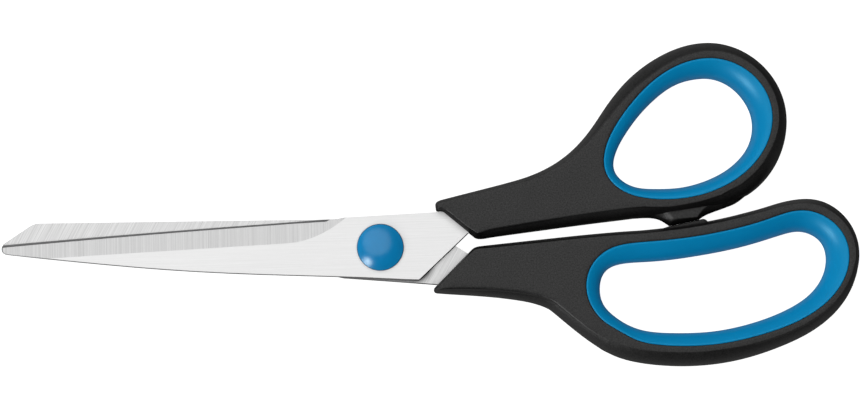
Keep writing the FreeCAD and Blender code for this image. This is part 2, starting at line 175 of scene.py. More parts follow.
def hermite(start, end, leave, arrive):
    """Fine points along the cubic spans from start to end, each span's own end left out."""
    share = np.linspace(0, 1, SPAN_STEPS, endpoint=False)[None, :, None]
    return (
        start[:, None] * (2 * share**3 - 3 * share**2 + 1)
        + leave[:, None] * (share**3 - 2 * share**2 + share)
        + end[:, None] * (3 * share**2 - 2 * share**3)
        + arrive[:, None] * (share**3 - share**2)
    ).reshape(-1, start.shape[1])


def evenly(line, count):
    """Evenly spaced points along a fine line, both ends included."""
    steps = np.linalg.norm(np.diff(line, axis=0), axis=1)
    distance = np.concatenate([[0], np.cumsum(steps)])
    wanted = np.linspace(0, distance[-1], count)
    return np.stack([np.interp(wanted, distance, column) for column in line.T], axis=1)


def smooth_line(points, count):
    """Evenly spaced points on a smooth open line through the given ones."""
    points = np.array(points, float)
    tangent = np.gradient(points, axis=0)
    fine = hermite(points[:-1], points[1:], tangent[:-1], tangent[1:])
    return evenly(np.vstack([fine, points[-1:]]), count)


def inward(loop):
    """Unit vectors square to an anticlockwise loop that point into it."""
    tangent = np.roll(loop, -1, 0) - np.roll(loop, 1, 0)
    tangent /= np.linalg.norm(tangent, axis=1, keepdims=True)
    return np.stack([-tangent[:, 1], tangent[:, 0]], axis=1)


def round_the_loop(loop, anchors, blend):
    """A value for each point of a loop, from (x, y, value) anchors in the pivot's frame."""
    anchors = np.array(anchors, float)
    spots = anchors[:, :2] + PIVOT[:2]
    nearest = [int(np.argmin(np.linalg.norm(loop - spot, axis=1))) for spot in spots]
    values = np.interp(np.arange(len(loop)), nearest, anchors[:, 2], period=len(loop))
    return blur(values, blend / (perimeter(loop) / len(loop)))


def facing(loop, other):
    """For each point of a loop, the point of the other loop that faces it, evenly shared out."""
    n, m = len(loop), len(other)
    nearest = np.array([np.argmin(np.linalg.norm(other - p, axis=1)) for p in loop], float)
    unwound = np.unwrap(nearest, period=m)
    trend = np.arange(n) * m / n
    place = (trend + blur(unwound - trend, n * FACING_BLEND)) % m
    closed = np.vstack([other, other[:1]])
    return np.stack([np.interp(place, np.arange(m + 1), column) for column in closed.T], axis=1)


# ---- mesh helpers -------------------------------------------------------------------------------

WELD = 2e-6  # corners closer than this, in metres, become one
JOINED_SMOOTH_DEG = 35.0


def make_object(name, points, faces, smooth_deg=40.0):
    """A closed mesh object in metres, welded, with its faces turned outwards."""
    mesh = bpy.data.meshes.new(name)
    mesh.from_pydata((np.asarray(points) * MM).tolist(), [], [tuple(map(int, f)) for f in faces])
    work = bmesh.new()
    work.from_mesh(mesh)
    bmesh.ops.remove_doubles(work, verts=work.verts, dist=WELD)
    bmesh.ops.recalc_face_normals(work, faces=work.faces)
    work.to_mesh(mesh)
    work.free()
    finish_shading(mesh, smooth_deg)
    thing = bpy.data.objects.new(name, mesh)
    bpy.context.scene.collection.objects.link(thing)
    return thing


def finish_shading(mesh, smooth_deg):
    """Smooth shading, with sharp edges where faces meet at more than smooth_deg."""
    mesh.polygons.foreach_set("use_smooth", [True] * len(mesh.polygons))
    mesh.set_sharp_from_angle(angle=math.radians(smooth_deg))


def strip(rings, close=False):
    """Quads between rings of equal length; close joins the last ring to the first."""
    count, n = len(rings), len(rings[0])
    faces = []
    for k in range(count if close else count - 1):
        a, b = k * n, ((k + 1) % count) * n
        faces += [(a + i, a + (i + 1) % n, b + (i + 1) % n, b + i) for i in range(n)]
    return faces


def at_height(loop, z):
    """A plan outline lifted to one height, or to a height for each of its points."""
    return np.column_stack([loop, np.broadcast_to(z, len(loop))])


def mirrored(points):
    """Points turned over about the handles' middle level."""
    flipped = np.array(points, float)
    flipped[:, 2] = 2 * MID_Z - flipped[:, 2]
    return flipped


def inside(points, loop):
    """Which points lie inside a closed loop."""
    x, y = points[:, :1], points[:, 1:2]
    x0, y0 = loop.T
    x1, y1 = np.roll(loop, -1, 0).T
    with np.errstate(divide="ignore", invalid="ignore"):
        crossing = ((y0 > y) != (y1 > y)) & (x < (x1 - x0) * (y - y0) / (y1 - y0) + x0)
    return crossing.sum(1) % 2 == 1


def gap_to(points, loop):
    """Distance from each point to the nearest point of a dense loop."""
    return np.array([np.sqrt(((loop - p) ** 2).sum(1).min()) for p in points])


def join_solid(target, other):
    """Unites two closed meshes in the first and removes the second."""
    step = target.modifiers.new("join", "BOOLEAN")
    step.operation, step.solver, step.object = "UNION", "EXACT", other
    depsgraph = bpy.context.evaluated_depsgraph_get()
    joined = target.evaluated_get(depsgraph)
    mesh = bpy.data.meshes.new_from_object(joined, depsgraph=depsgraph)
    target.modifiers.clear()
    target.data = mesh
    mesh.name = target.name
    finish_shading(mesh, JOINED_SMOOTH_DEG)
    bpy.data.objects.remove(other)


# ---- handles ------------------------------------------------------------------------------------

CUT_LEVEL = TOP_Z - 2.1  # height at which a handle's walls are read
OUTLINE_POINTS, OUTLINE_ROUNDING = 720, 0.22  # points round a handle, and how soft its corners are
RIM_POINTS, RIM_ROUNDING = 360, 1.6  # the same for the rim of its bow
WIDTH_BLEND = 1.2  # changes of width are spread over this much of the outline
SIDE_FULLNESS = 0.8  # how far round its ellipse the side goes before it meets the land
SIDE_SHARES = np.linspace(0.04, 1, 13) ** 0.8  # heights of the side's rings, closer near the land
EDGE_STEPS = 5  # rings on the land's rounded edge
EDGE_WIDTHS = (0.3, 0.9)  # a fine and a full width of that edge
EDGE_RISE = (0.42, 1.0)  # and the height of each, as a share of its width
LAND_LOW = 0.09  # the land's outer edge lies this far below its middle
RIM_LOW = 0.05  # and its inner edge this far
CROWN_REACH = 0.9  # the land falls to its edges over about this distance
LATTICE = 0.62  # spacing of the points inside the land
LATTICE_ROW = 0.866  # distance between their rows, as a share of the spacing
LATTICE_MARGIN = 0.45  # and the least distance from an edge, as a share of the spacing
MITRE_SHARE, MITRE_SLACK = 0.97, 0.01  # inset points nearer the outline than this are mitred away
RIM_ROUND = 0.13  # radius of the rim's edge
KEY_DEPTH = 1.0  # the groove that holds the lining: how deep, and half how thick
KEY_HALF_THICKNESS = 1.6
PARTING_RIDGE = 0.035  # the fine ridge where the mould's halves meet: how proud, and half how wide
PARTING_HALF_WIDTH = 0.07


def side_rings(outline, width, edge):
    """Rings from the parting line up to the land: the rounded side and the land's edge."""
    rise = edge * np.interp(edge, EDGE_WIDTHS, EDGE_RISE)
    high = HALF_THICKNESS - LAND_LOW - rise
    ridge = outline - inward(outline) * PARTING_RIDGE
    rings = [at_height(ridge, MID_Z), at_height(ridge, MID_Z + PARTING_HALF_WIDTH)]
    full = 1 - math.sqrt(1 - SIDE_FULLNESS**2)
    for share in SIDE_SHARES:
        pull = (1 - math.sqrt(1 - (SIDE_FULLNESS * share) ** 2)) / full
        rings.append(at_height(inset(outline, width * pull), MID_Z + high * share))
    for turn in np.linspace(0, 1, EDGE_STEPS + 1)[1:]:
        angle = turn * math.pi / 2
        reach = width + edge * (1 - math.cos(angle))
        level = MID_Z + high + rise * math.sin(angle)
        rings.append(at_height(inset(outline, reach), level))
    return rings


def rim_rings(rim):
    """Rings from the land's inner edge down the wall of the lining's space to the mid level."""
    out = -inward(rim)
    rings = []
    for turn in (0.0, 0.5, 1.0):
        angle = turn * math.pi / 2
        low = TOP_Z - RIM_LOW - RIM_ROUND * (1 - math.cos(angle))
        rings.append(at_height(rim + out * RIM_ROUND * (1 - math.sin(angle)), low))
    key_top = MID_Z + KEY_HALF_THICKNESS
    rings += [at_height(rim, key_top), at_height(rim + out * KEY_DEPTH, key_top)]
    rings.append(at_height(rim + out * KEY_DEPTH, MID_Z))
    return rings


def land(outer, inner):
    """The triangulated land between two level rings, crowned in its middle."""
    low, high = outer[:, :2].min(0), outer[:, :2].max(0)
    spots = np.array([
        (x + (k % 2) * LATTICE / 2, y)
        for k, y in enumerate(np.arange(low[1], high[1], LATTICE * LATTICE_ROW))
        for x in np.arange(low[0], high[0], LATTICE)
    ])
    spots = spots[inside(spots, outer[:, :2]) & ~inside(spots, inner[:, :2])]
    outer_gap, inner_gap = gap_to(spots, outer[:, :2]), gap_to(spots, inner[:, :2])
    keep = np.minimum(outer_gap, inner_gap) > LATTICE * LATTICE_MARGIN
    spots, outer_gap, inner_gap = spots[keep], outer_gap[keep], inner_gap[keep]
    fall = (TOP_Z - outer[0, 2]) * np.exp(-outer_gap / CROWN_REACH)
    fall = np.maximum(fall, (TOP_Z - inner[0, 2]) * np.exp(-inner_gap / CROWN_REACH))
    points = np.vstack([outer, inner, at_height(spots, TOP_Z - fall)])
    n, m = len(outer), len(inner)
    edges = [(i, (i + 1) % n) for i in range(n)]
    edges += [(n + i, n + (i + 1) % m) for i in range(m)]
    made = geometry.delaunay_2d_cdt([Vector(p[:2]) for p in points], edges, [], 0, 1e-6)
    order = np.array([source[0] for source in made[3]])
    triangles = order[np.array(made[2])]
    centres = points[triangles].mean(1)[:, :2]
    keep = inside(centres, outer[:, :2]) & ~inside(centres, inner[:, :2])
    return points, triangles[keep]


def inset(outline, reach):
    """The outline moved inward, mitred where it turns more tightly than the reach."""
    moved = outline + inward(outline) * reach[:, None]
    gap = np.linalg.norm(moved[:, None] - outline[None], axis=2).min(axis=1)
    clear = np.flatnonzero(gap > MITRE_SHARE * reach - MITRE_SLACK)
    index, n = np.arange(len(outline)), len(outline)
    columns = [np.interp(index, clear, column[clear], period=n) for column in moved.T]
    return np.stack(columns, axis=1)


def handle(name, node, widths, edges):
    """A moulded handle: rounded sides, a crowned land and the keyed space for the soft lining."""
    walls = outlines(node, CUT_LEVEL)
    outline = even_loop(walls[0], OUTLINE_POINTS, OUTLINE_ROUNDING)
    rim = even_loop(walls[1], RIM_POINTS, RIM_ROUNDING)
    width, edge = (round_the_loop(outline, anchors, WIDTH_BLEND) for anchors in (widths, edges))
    side, bore = side_rings(outline, width, edge), rim_rings(rim)
    blocks = [(np.vstack(rings), strip(rings)) for rings in (side, bore)]
    blocks.append(land(side[-1], bore[0]))
    points, faces = [], []
    for turned in (False, True):
        for block, block_faces in blocks:
            start = sum(len(p) for p in points)
            points.append(mirrored(block) if turned else block)
            faces += [tuple(start + i for i in face) for face in block_faces]
    return make_object(name, np.vstack(points), faces), rim


def stop_block(name, free_edge, facet, root, foot):
    """A stop of the closed scissors, from lines in plan.

    It stands upright on free_edge up to the foot's height above the middle, and rolls over from
    there to the facet. The root is buried in the handle.
    """
    free_edge, facet, root = (np.array(line) + PIVOT[:2] for line in (free_edge, facet, root))
    rows = [at_height(free_edge, MID_Z), at_height(free_edge, MID_Z + foot)]
    for turn, climb in STOP_ROLL:
        level = MID_Z + foot + (STOP_TOP - foot) * climb
        rows.append(at_height(free_edge + (facet - free_edge) * turn, level))
    rows = [mirrored(row) for row in rows[:0:-1]] + rows
    loops = [np.vstack([row, at_height(root, row[0, 2])]) for row in rows]
    n, half = len(loops[0]), len(root)
    faces = strip(loops)
    for base in (0, (len(loops) - 1) * n):
        for i in range(half - 1):
            faces.append((base + i, base + i + 1, base + n - 2 - i, base + n - 1 - i))
    return make_object(name, np.vstack(loops), faces)


def chained(*lines):
    """One line from several that each start where the one before ends."""
    return np.vstack([lines[0], *[line[1:] for line in lines[1:]]])


# how wide the rounded side is in plan, as (x, y, width) anchors from the pivot
THUMB_SIDE = [
    (13.6, 9.4, 0.4), (14.3, 11.3, 0.4), (30.0, 15.4, 0.55), (44.0, 21.2, 0.8), (50.0, 26.7, 1.3),
    (57.0, 36.5, 2.4), (64.0, 43.8, 2.8), (75.0, 49.4, 2.2), (84.0, 49.8, 1.7), (92.0, 46.0, 1.5),
    (98.0, 38.5, 1.6), (99.6, 30.0, 1.9), (97.6, 21.5, 2.8), (92.0, 14.2, 3.2), (84.5, 10.35, 2.7),
    (79.0, 9.55, 1.7), (72.0, 8.6, 1.5), (68.0, 8.0, 1.9), (64.5, 7.35, 2.6), (60.0, 6.8, 2.7),
    (48.0, 5.1, 2.5), (36.0, 3.6, 2.2), (27.0, 2.4, 1.9), (24.3, 2.05, 1.4), (20.5, 4.4, 0.9),
    (17.0, 7.3, 0.95), (14.8, 8.9, 0.8),
]
FINGER_SIDE = [
    (13.1, -10.7, 0.3), (14.1, -11.35, 1.0), (18.0, -11.6, 1.3), (26.0, -12.2, 1.6),
    (38.0, -14.0, 1.9), (50.0, -22.0, 2.2), (58.0, -26.9, 2.9), (70.0, -29.0, 3.3),
    (84.0, -28.3, 3.3), (98.0, -24.4, 2.6), (108.0, -19.0, 2.2), (114.5, -11.5, 1.5),
    (117.4, -2.0, 0.8), (115.8, 4.5, 0.9), (111.0, 10.2, 1.2), (103.0, 12.0, 0.9), (92.0, 9.1, 0.7),
    (77.5, 5.5, 0.7), (58.5, 3.75, 0.65), (40.0, 1.9, 0.65), (26.0, 0.45, 0.6), (23.5, 0.05, 0.4),
    (19.0, -4.2, 0.3), (14.5, -8.8, 0.3),
]
# and how wide the rounded edge is where the side meets the land
THUMB_EDGE = [
    (13.6, 9.4, 0.5), (16.5, 11.9, 0.3), (30.0, 15.4, 0.3), (64.0, 43.8, 0.25), (98.0, 38.5, 0.2),
    (84.0, 10.3, 0.25), (48.0, 5.1, 0.4), (25.0, 2.1, 0.5), (22.0, 3.1, 0.45), (15.6, 8.4, 0.45),
]
FINGER_EDGE = [
    (14.1, -11.35, 0.5), (18.0, -11.6, 0.8), (26.0, -12.2, 0.9), (40.0, -14.6, 0.9),
    (50.0, -22.0, 0.5), (70.0, -29.0, 0.3), (117.0, 0.0, 0.2), (77.5, 5.5, 0.25), (30.0, 0.8, 0.25),
    (19.0, -4.2, 0.15),
]
STOP_TOP = 2.6  # height of both stops' facets above the middle
STOP_GAP = 0.002  # each stop keeps this far from the line on which they meet
# how a stop rolls over: shares of the way from its free edge to its facet, and of the climb
STOP_ROLL = ((0.05, 0.16), (0.35, 0.55), (0.75, 0.93), (0.86, 0.98), (0.94, 0.995), (1.0, 1.0))
BOSS_FOOT, LEDGE_FOOT = 0.7, 2.3  # heights above the middle at which the rolls start

thumb_handle, thumb_rim = handle("thumb_handle_shell", "thumb_handle", THUMB_SIDE, THUMB_EDGE)
finger_handle, finger_rim = handle("finger_handle_shell", "finger_handle", FINGER_SIDE, FINGER_EDGE)

boss_edge = chained(
    smooth_line([(62.0, 6.95), (64.5, 7.1), (66.6, 7.05), (68.6, 6.55), (70.8, 5.17)], 14),
    smooth_line([(70.8, 5.17), (78.1, 6.72)], 7),
    smooth_line([
        (78.1, 6.72), (79.4, 7.65), (81.4, 8.5), (84.3, 9.55), (87.3, 10.85), (90.4, 13.3),
    ], 14),
) + [0, STOP_GAP]
boss_facet = chained(
    smooth_line([(64.5, 9.4), (69.6, 9.6), (71.3, 8.8), (72.2, 7.2)], 14),
    smooth_line([(72.2, 7.2), (77.6, 7.5)], 7),
    smooth_line([(77.6, 7.5), (79.2, 9.7), (81.5, 11.4), (86.0, 13.3), (89.6, 14.9)], 14),
)
boss_root = smooth_line([(90.2, 15.3), (80.0, 11.8), (64.0, 10.4)], len(boss_edge))
join_solid(thumb_handle, stop_block("boss", boss_edge, boss_facet, boss_root, BOSS_FOOT))

ledge_edge = chained(
    smooth_line([(64.0, 4.1), (68.6, 4.5), (70.8, 5.15)], 8),
    smooth_line([(70.8, 5.15), (78.1, 6.7)], 6),
    smooth_line([(78.1, 6.7), (79.3, 6.95), (80.1, 6.5), (80.4, 6.0)], 10),
) - [0, STOP_GAP]
ledge_facet = chained(
    smooth_line([(64.4, 3.9), (68.7, 4.32), (70.85, 4.95)], 8),
    smooth_line([(70.85, 4.95), (78.1, 6.48)], 6),
    smooth_line([(78.1, 6.48), (79.2, 6.7), (79.85, 6.35), (80.1, 5.9)], 10),
)
ledge_root = smooth_line([(80.2, 4.4), (64.2, 2.4)], len(ledge_edge))
join_solid(finger_handle, stop_block("ledge", ledge_edge, ledge_facet, ledge_root, LEDGE_FOOT))


# ---- soft linings -------------------------------------------------------------------------------

THROAT_LEVEL = MID_Z + 0.013  # where the hole is read, just off the level its edges lie on
HOLE_POINTS, HOLE_ROUNDING = 720, 0.5  # points round the hole, and how soft its corners are
LEAN_BLEND = 2.5  # changes of lean are spread over this much of the rim
LINING_STEPS = 22
LINING_SEAT = 0.05  # the lining's edge stays this far inside the hard rim
LINING_SINK = 0.20  # its edge dips this far below the face before it rolls over
LINING_CREST = 0.03  # and its roll comes this near to the face
LINING_TUCK = 0.30  # width of the small roll at the edge
TUCK_TURNS = (0.0, 0.33, 0.66)  # where the roll's rings are, as shares of a quarter turn
SEAT_STEP = 0.1  # height of the upright strip below the roll
LINING_SMOOTH_DEG = 50.0
KEY_PLAY = 0.04  # the lining's key is this much smaller than its groove


def lining(name, node, rim, tilt, leans):
    """A soft lining that rolls from the hard rim into the hole and out on the other side.

    tilt is the slope of its throat along X and Y; leans are anchors for how steeply it leaves the
    rim.
    """
    throat = outlines(node, THROAT_LEVEL, upright_only=False)[1]
    hole = even_loop(throat, HOLE_POINTS, HOLE_ROUNDING)
    partner = facing(rim, hole)
    throat_z = MID_Z + (partner - partner.mean(0)) @ np.array(tilt)
    off_middle = np.abs(MID_Z - throat_z) / (HALF_THICKNESS + np.abs(MID_Z - throat_z))
    flare = (1 - np.sqrt(1 - off_middle**2))[:, None]
    partner = (partner - rim * flare) / (1 - flare)
    lean = np.radians(round_the_loop(rim, leans, LEAN_BLEND))
    normal = inward(rim)
    seat, tuck = rim + normal * LINING_SEAT, rim + normal * (LINING_SEAT + LINING_TUCK)
    key_z = KEY_HALF_THICKNESS - KEY_PLAY
    halves = []
    for side in (1, -1):
        sunk = MID_Z + side * (HALF_THICKNESS - LINING_SINK)
        crest = MID_Z + side * (HALF_THICKNESS - LINING_CREST)
        rings = [
            at_height(rim - normal * (KEY_DEPTH - KEY_PLAY), MID_Z + side * key_z),
            at_height(seat, MID_Z + side * key_z),
            at_height(seat, sunk - side * SEAT_STEP),
        ]
        for turn in TUCK_TURNS:
            angle = turn * math.pi / 2
            line = seat + normal * LINING_TUCK * (1 - math.cos(angle))
            rings.append(at_height(line, sunk + (crest - sunk) * math.sin(angle)))
        for share in np.linspace(0, 1, LINING_STEPS):
            angle = lean + (math.pi / 2 - lean) * share
            across = (np.sin(angle) - np.sin(lean)) / (1 - np.sin(lean))
            drop = 1 - np.cos(angle) / np.cos(lean)
            z = crest + (throat_z - crest) * drop
            rings.append(np.column_stack([tuck + (partner - tuck) * across[:, None], z]))
        halves.append(rings)
    rings = halves[0] + halves[1][-2::-1]
    return make_object(name, np.vstack(rings), strip(rings, close=True), LINING_SMOOTH_DEG)


# how steeply the lining leaves the rim, as (x, y, degrees) from the pivot
THUMB_LEAN = [
    (79.0, 46.4, 24), (93.0, 40.8, 12), (96.0, 32.0, 10), (90.0, 18.5, 10), (76.0, 12.2, 9),
    (60.0, 13.5, 12), (55.0, 21.0, 20), (60.0, 33.5, 22), (70.0, 43.0, 24),
]
FINGER_LEAN = [
    (103.0, 9.2, 24), (110.5, 6.6, 11), (113.8, 2.0, 12), (114.0, -7.0, 32), (103.0, -17.8, 44),
    (83.0, -23.7, 42), (62.5, -22.8, 36), (51.0, -9.0, 20), (58.0, 0.3, 48), (75.0, 2.4, 54),
    (92.0, 6.0, 44),
]
thumb_lining = lining("thumb_lining", "thumb_grip", thumb_rim, (-0.075, -0.055), THUMB_LEAN)
finger_lining = lining("finger_lining", "finger_grip", finger_rim, (-0.020, -0.075), FINGER_LEAN)


# ---- pivot cap ----------------------------------------------------------------------------------

CAP_SIDES = 160
CAP_SMOOTH_DEG = 35.0
CAP_PLAY = 0.02  # between the screw's head and the cap's hollow
# the cap's lower corner, as (distance in from its side, height above its foot)
CAP_FOOT = ((0.22, 0.0), (0.10, 0.05), (0.04, 0.16), (0.0, 0.30))
CAP_SHOULDER = 0.9  # height above the foot at which side and dome would meet in a sharp corner
CAP_ROLL_START = 0.20  # the roll that takes that corner off starts this far below it
CAP_ROLL_IN, CAP_ROLL_UP = 0.35, 0.42  # and reaches this far inward and upward
CAP_ROLL_POWER = 1.2  # how slowly it starts to climb
CAP_ROLL_LEAN = 0.93  # its slope where it meets the dome, as a share of the dome's
CAP_ROLL_TURNS = np.linspace(0.15, 1, 6)  # where its rings are, as shares of the roll
DOME_STEPS = 25


def lathe(name, profile):
    """A turned piece from (radius, height) pairs that start and end on its axis."""
    n = CAP_SIDES
    angles = np.linspace(0, 2 * math.pi, n, endpoint=False)
    circle = np.column_stack([np.cos(angles), np.sin(angles)])
    rings = [at_height(circle * radius + PIVOT[:2], z) for radius, z in profile[1:-1]]
    points = np.vstack([*rings, [*PIVOT[:2], profile[0][1]], [*PIVOT[:2], profile[-1][1]]])
    faces = strip(rings)
    first, last = len(points) - 2, len(points) - 1
    base = (len(rings) - 1) * n
    faces += [(first, i, (i + 1) % n) for i in range(n)]
    faces += [(last, base + (i + 1) % n, base + i) for i in range(n)]
    return make_object(name, points, faces, CAP_SMOOTH_DEG)


def half_width(node):
    """Half a CAD node's size along X, in millimetres."""
    low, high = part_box(node)
    return (high.x - low.x) / 2 / MM


def cap_profile():
    """From the middle of the cap's hollow, down to its foot and up over the dome."""
    foot, crown = (corner.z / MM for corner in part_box("pivot_cap"))
    radius = half_width("pivot_cap")
    hollow = half_width("pivot_screw") + CAP_PLAY
    hollow_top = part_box("pivot_screw")[1].z / MM + CAP_PLAY
    shoulder_shade = foot + CAP_SHOULDER
    rise = crown - shoulder_shade
    dome = (radius**2 + rise**2) / (2 * rise)
    profile = [(0, hollow_top), (hollow, hollow_top), (hollow, foot)]
    profile += [(radius - inner, foot + up) for inner, up in CAP_FOOT]
    roll_start = shoulder_shade - CAP_ROLL_START
    profile.append((radius, roll_start))
    steepest = math.asin(radius / dome) * CAP_ROLL_LEAN
    for turn in CAP_ROLL_TURNS:
        lean = math.pi / 2 - (math.pi / 2 - steepest) * turn
        climb = CAP_ROLL_UP * math.cos(lean) ** CAP_ROLL_POWER
        profile.append((radius - CAP_ROLL_IN * (1 - math.sin(lean)), roll_start + climb))
    start = math.asin(profile[-1][0] / dome)
    for share in np.linspace(0, 1, DOME_STEPS + 1)[1:]:
        angle = start * (1 - share)
        profile.append((dome * math.sin(angle), crown - dome * (1 - math.cos(angle))))
    return profile


pivot_cap = lathe("pivot_cap_dome", cap_profile())


# ---- materials ----------------------------------------------------------------------------------

class Graph:
    """A node material being built: every call adds one node and returns its main output."""

    def __init__(self, name):
        self.material = bpy.data.materials.new(name)
        self.material.use_nodes = True
        self.tree = self.material.node_tree
        self.shader = self.tree.nodes["Principled BSDF"]
        coordinates = self.tree.nodes.new("ShaderNodeTexCoord")
        self.place, self.normal = coordinates.outputs["Object"], coordinates.outputs["Normal"]

    def feed(self, socket, value):
        """Links another node's output to a socket, or sets the socket to a value."""
        if isinstance(value, bpy.types.NodeSocket):
            self.tree.links.new(value, socket)
        elif isinstance(value, (tuple, list)) and len(value) == 3 and socket.type == "RGBA":
            socket.default_value = (*value, 1)
        else:
            socket.default_value = value

    def add(self, kind, output=0, inputs=None, **settings):
        node = self.tree.nodes.new("ShaderNode" + kind)
        for key, value in settings.items():
            setattr(node, key, value)
        for key, value in (inputs or {}).items():
            self.feed(node.inputs[key], value)
        return node.outputs[output]

    def math(self, operation, a, b=0.0):
        return self.add("Math", inputs={0: a, 1: b}, operation=operation)

    def product(self, *factors):
        """All the factors multiplied together."""
        result = factors[0]
        for factor in factors[1:]:
            result = self.math("MULTIPLY", result, factor)
        return result

    def part(self, vector, axis):
        """One number of a vector: axis is 0, 1 or 2."""
        return self.add("SeparateXYZ", output=axis, inputs={0: vector})

    def turned(self, degrees, stretch):
        """The object's coordinates turned about Z and then stretched."""
        angle = math.radians(degrees)
        turned = self.add("VectorRotate", inputs={"Vector": self.place, "Angle": angle})
        return self.add("VectorMath", inputs={0: turned, 1: stretch}, operation="MULTIPLY")

    def noise(self, scale, vector=None, detail=3.0, roughness=0.55):
        """Noise from 0 to 1 with the given number of features a metre."""
        return self.add("TexNoise", inputs={
            "Vector": vector or self.place, "Scale": scale, "Detail": detail,
            "Roughness": roughness,
        })

    def spread(self, value, low, high, from_low=0.0, from_high=1.0):
        """The value moved from one range to another, held inside the new one."""
        return self.add("MapRange", inputs={
            "Value": value, "From Min": from_low, "From Max": from_high,
            "To Min": low, "To Max": high,
        })

    def mix(self, share, a, b):
        """A colour between a and b."""
        node = self.tree.nodes.new("ShaderNodeMix")
        node.data_type = "RGBA"
        self.feed(node.inputs["Factor"], share)
        for socket, value in ((node.inputs[6], a), (node.inputs[7], b)):
            self.feed(socket, value)
        return node.outputs[2]

    def corners(self, reach, samples):
        """1 in the open, and less in corners and gaps narrower than the reach in metres."""
        inputs = {"Distance": reach}
        return self.add("AmbientOcclusion", output=1, inputs=inputs, samples=samples)

    def bump(self, height, micrometres, strength):
        """A normal tilted by the height, whose full range is so many micrometres."""
        inputs = {"Height": height, "Distance": micrometres * 1e-6, "Strength": strength}
        return self.add("Bump", inputs=inputs)

    def finish(self, **values):
        """Feeds the shader's inputs and returns the finished material."""
        for key, value in values.items():
            self.feed(self.shader.inputs[key.replace("_", " ")], value)
        return self.material


NOISE_RANGE = (0.3, 0.7)  # between these two values lies nearly all of a noise
NOISE_CORE = (0.35, 0.65)  # and between these the greater part of it

# where the handles' rolled shoulders get painted shade, their gloss turned down, in metres: each
# pair is where the area fades out
SHOULDER_LEVEL = (0.6, 0.9)  # upward part of the normal, on the roll and on the land
SHOULDER_BACK = (0.0125, 0.014)  # along X
SHOULDER_FINGER_SIDE = (-0.0208, -0.0202)  # along Y
SHOULDER_THUMB_SIDE = (-0.0012, -0.0006)  # along Y

CAP_RIM_SHADE_LEVEL = (0.72, 0.835)  # upward part of the normal where the painted rim shade is full, and where it ends


def plastic():
    """Black moulded plastic with a fine spark-eroded texture, polished a little by handling."""
    g = Graph("handle_plastic")
    grain = g.noise(2600, detail=4, roughness=0.75)
    mottle = g.noise(140, detail=3)
    speck = g.noise(6500, detail=1)
    tone = g.math("ADD", g.product(grain, 0.6), g.product(speck, 0.4))
    dark, pale, worn = (0.0045, 0.0045, 0.0048), (0.0125, 0.0122, 0.0118), (0.0115, 0.0113, 0.0110)
    colour = g.mix(g.spread(tone, 0, 1, *NOISE_CORE), dark, pale)
    colour = g.mix(g.spread(mottle, 0, 0.3, 0.35, 0.75), colour, worn)
    # painted shade: the gloss is turned down on the shoulders where the steel enters, and in
    # corners and gaps, so that they look shaded
    across = g.part(g.place, 1)
    shoulder_shade = g.product(
        g.spread(g.math("ABSOLUTE", g.part(g.normal, 2)), 1, 0, *SHOULDER_LEVEL),
        g.spread(g.part(g.place, 0), 1, 0, *SHOULDER_BACK),
        g.spread(across, 0, 1, *SHOULDER_FINGER_SIDE),
        g.spread(across, 1, 0, *SHOULDER_THUMB_SIDE),
    )
    # the grain's own gloss, with the painted shade of corners and shoulders
    gloss_and_shade = g.product(
        g.spread(tone, 0.26, 0.68, *NOISE_CORE),
        g.spread(g.corners(0.003, samples=8), 0.05, 1, 0.5, 0.85),
        g.spread(shoulder_shade, 1, 0.02),
    )
    roughness = g.math(
        "ADD", g.spread(grain, 0.34, 0.44, *NOISE_RANGE),
        g.spread(mottle, -0.03, 0.03, *NOISE_RANGE),
    )
    return g.finish(
        Base_Color=colour, Roughness=roughness, Specular_IOR_Level=gloss_and_shade,
        Normal=g.bump(grain, 22, 0.7),
    )


def rubber():
    """Blue soft-touch rubber: satin, with a very fine skin."""
    g = Graph("grip_rubber")
    grain = g.noise(2900, detail=3, roughness=0.7)
    cloud = g.noise(110, detail=2)
    deep, light, dusty = (0.0, 0.352, 0.745), (0.0, 0.376, 0.785), (0.0, 0.305, 0.65)
    colour = g.mix(g.spread(cloud, 0, 1, *NOISE_RANGE), deep, light)
    colour = g.mix(g.spread(grain, 0, 0.25, 0.4, 0.8), colour, dusty)
    roughness = g.spread(grain, 0.30, 0.40, *NOISE_RANGE)
    return g.finish(
        Base_Color=colour, Roughness=roughness, IOR=1.45, Specular_Tint=(0.35, 0.8, 1.0, 1),
        Normal=g.bump(grain, 12, 0.5),
    )


def gloss_cap():
    """The cap's glossy blue moulding, with faint rub marks and painted shade round its foot."""
    g = Graph("cap_plastic")
    rub = g.noise(900, g.turned(35, (1, 0.12, 1)), detail=4)
    cloud = g.noise(260, detail=2)
    deep, light, rim_shade = (0.0, 0.320, 0.740), (0.0, 0.345, 0.790), (0.0, 0.07, 0.12)
    colour = g.mix(g.spread(cloud, 0, 1, *NOISE_RANGE), deep, light)
    # painted shade: darker where the surface turns steeply down towards the foot
    colour = g.mix(g.spread(g.part(g.normal, 2), 0.85, 0, *CAP_RIM_SHADE_LEVEL), colour, rim_shade)
    roughness = g.spread(rub, 0.19, 0.26, *NOISE_RANGE)
    return g.finish(
        Base_Color=colour, Roughness=roughness, IOR=1.62, Specular_Tint=(0.85, 0.97, 1.0, 1),
        Normal=g.bump(rub, 2.0, 0.4),
    )


BEVEL_LEVEL = (0.975, 0.985)  # upward part of the normal: bevels below this, flats above
STEEL_WALL_LEVEL = (0.80, 0.86)  # walls and cutting facets below this, bevels above
BEHIND_PIVOT = (-0.006, -0.002)  # X, in metres, from where the walls' painted shade is darkest
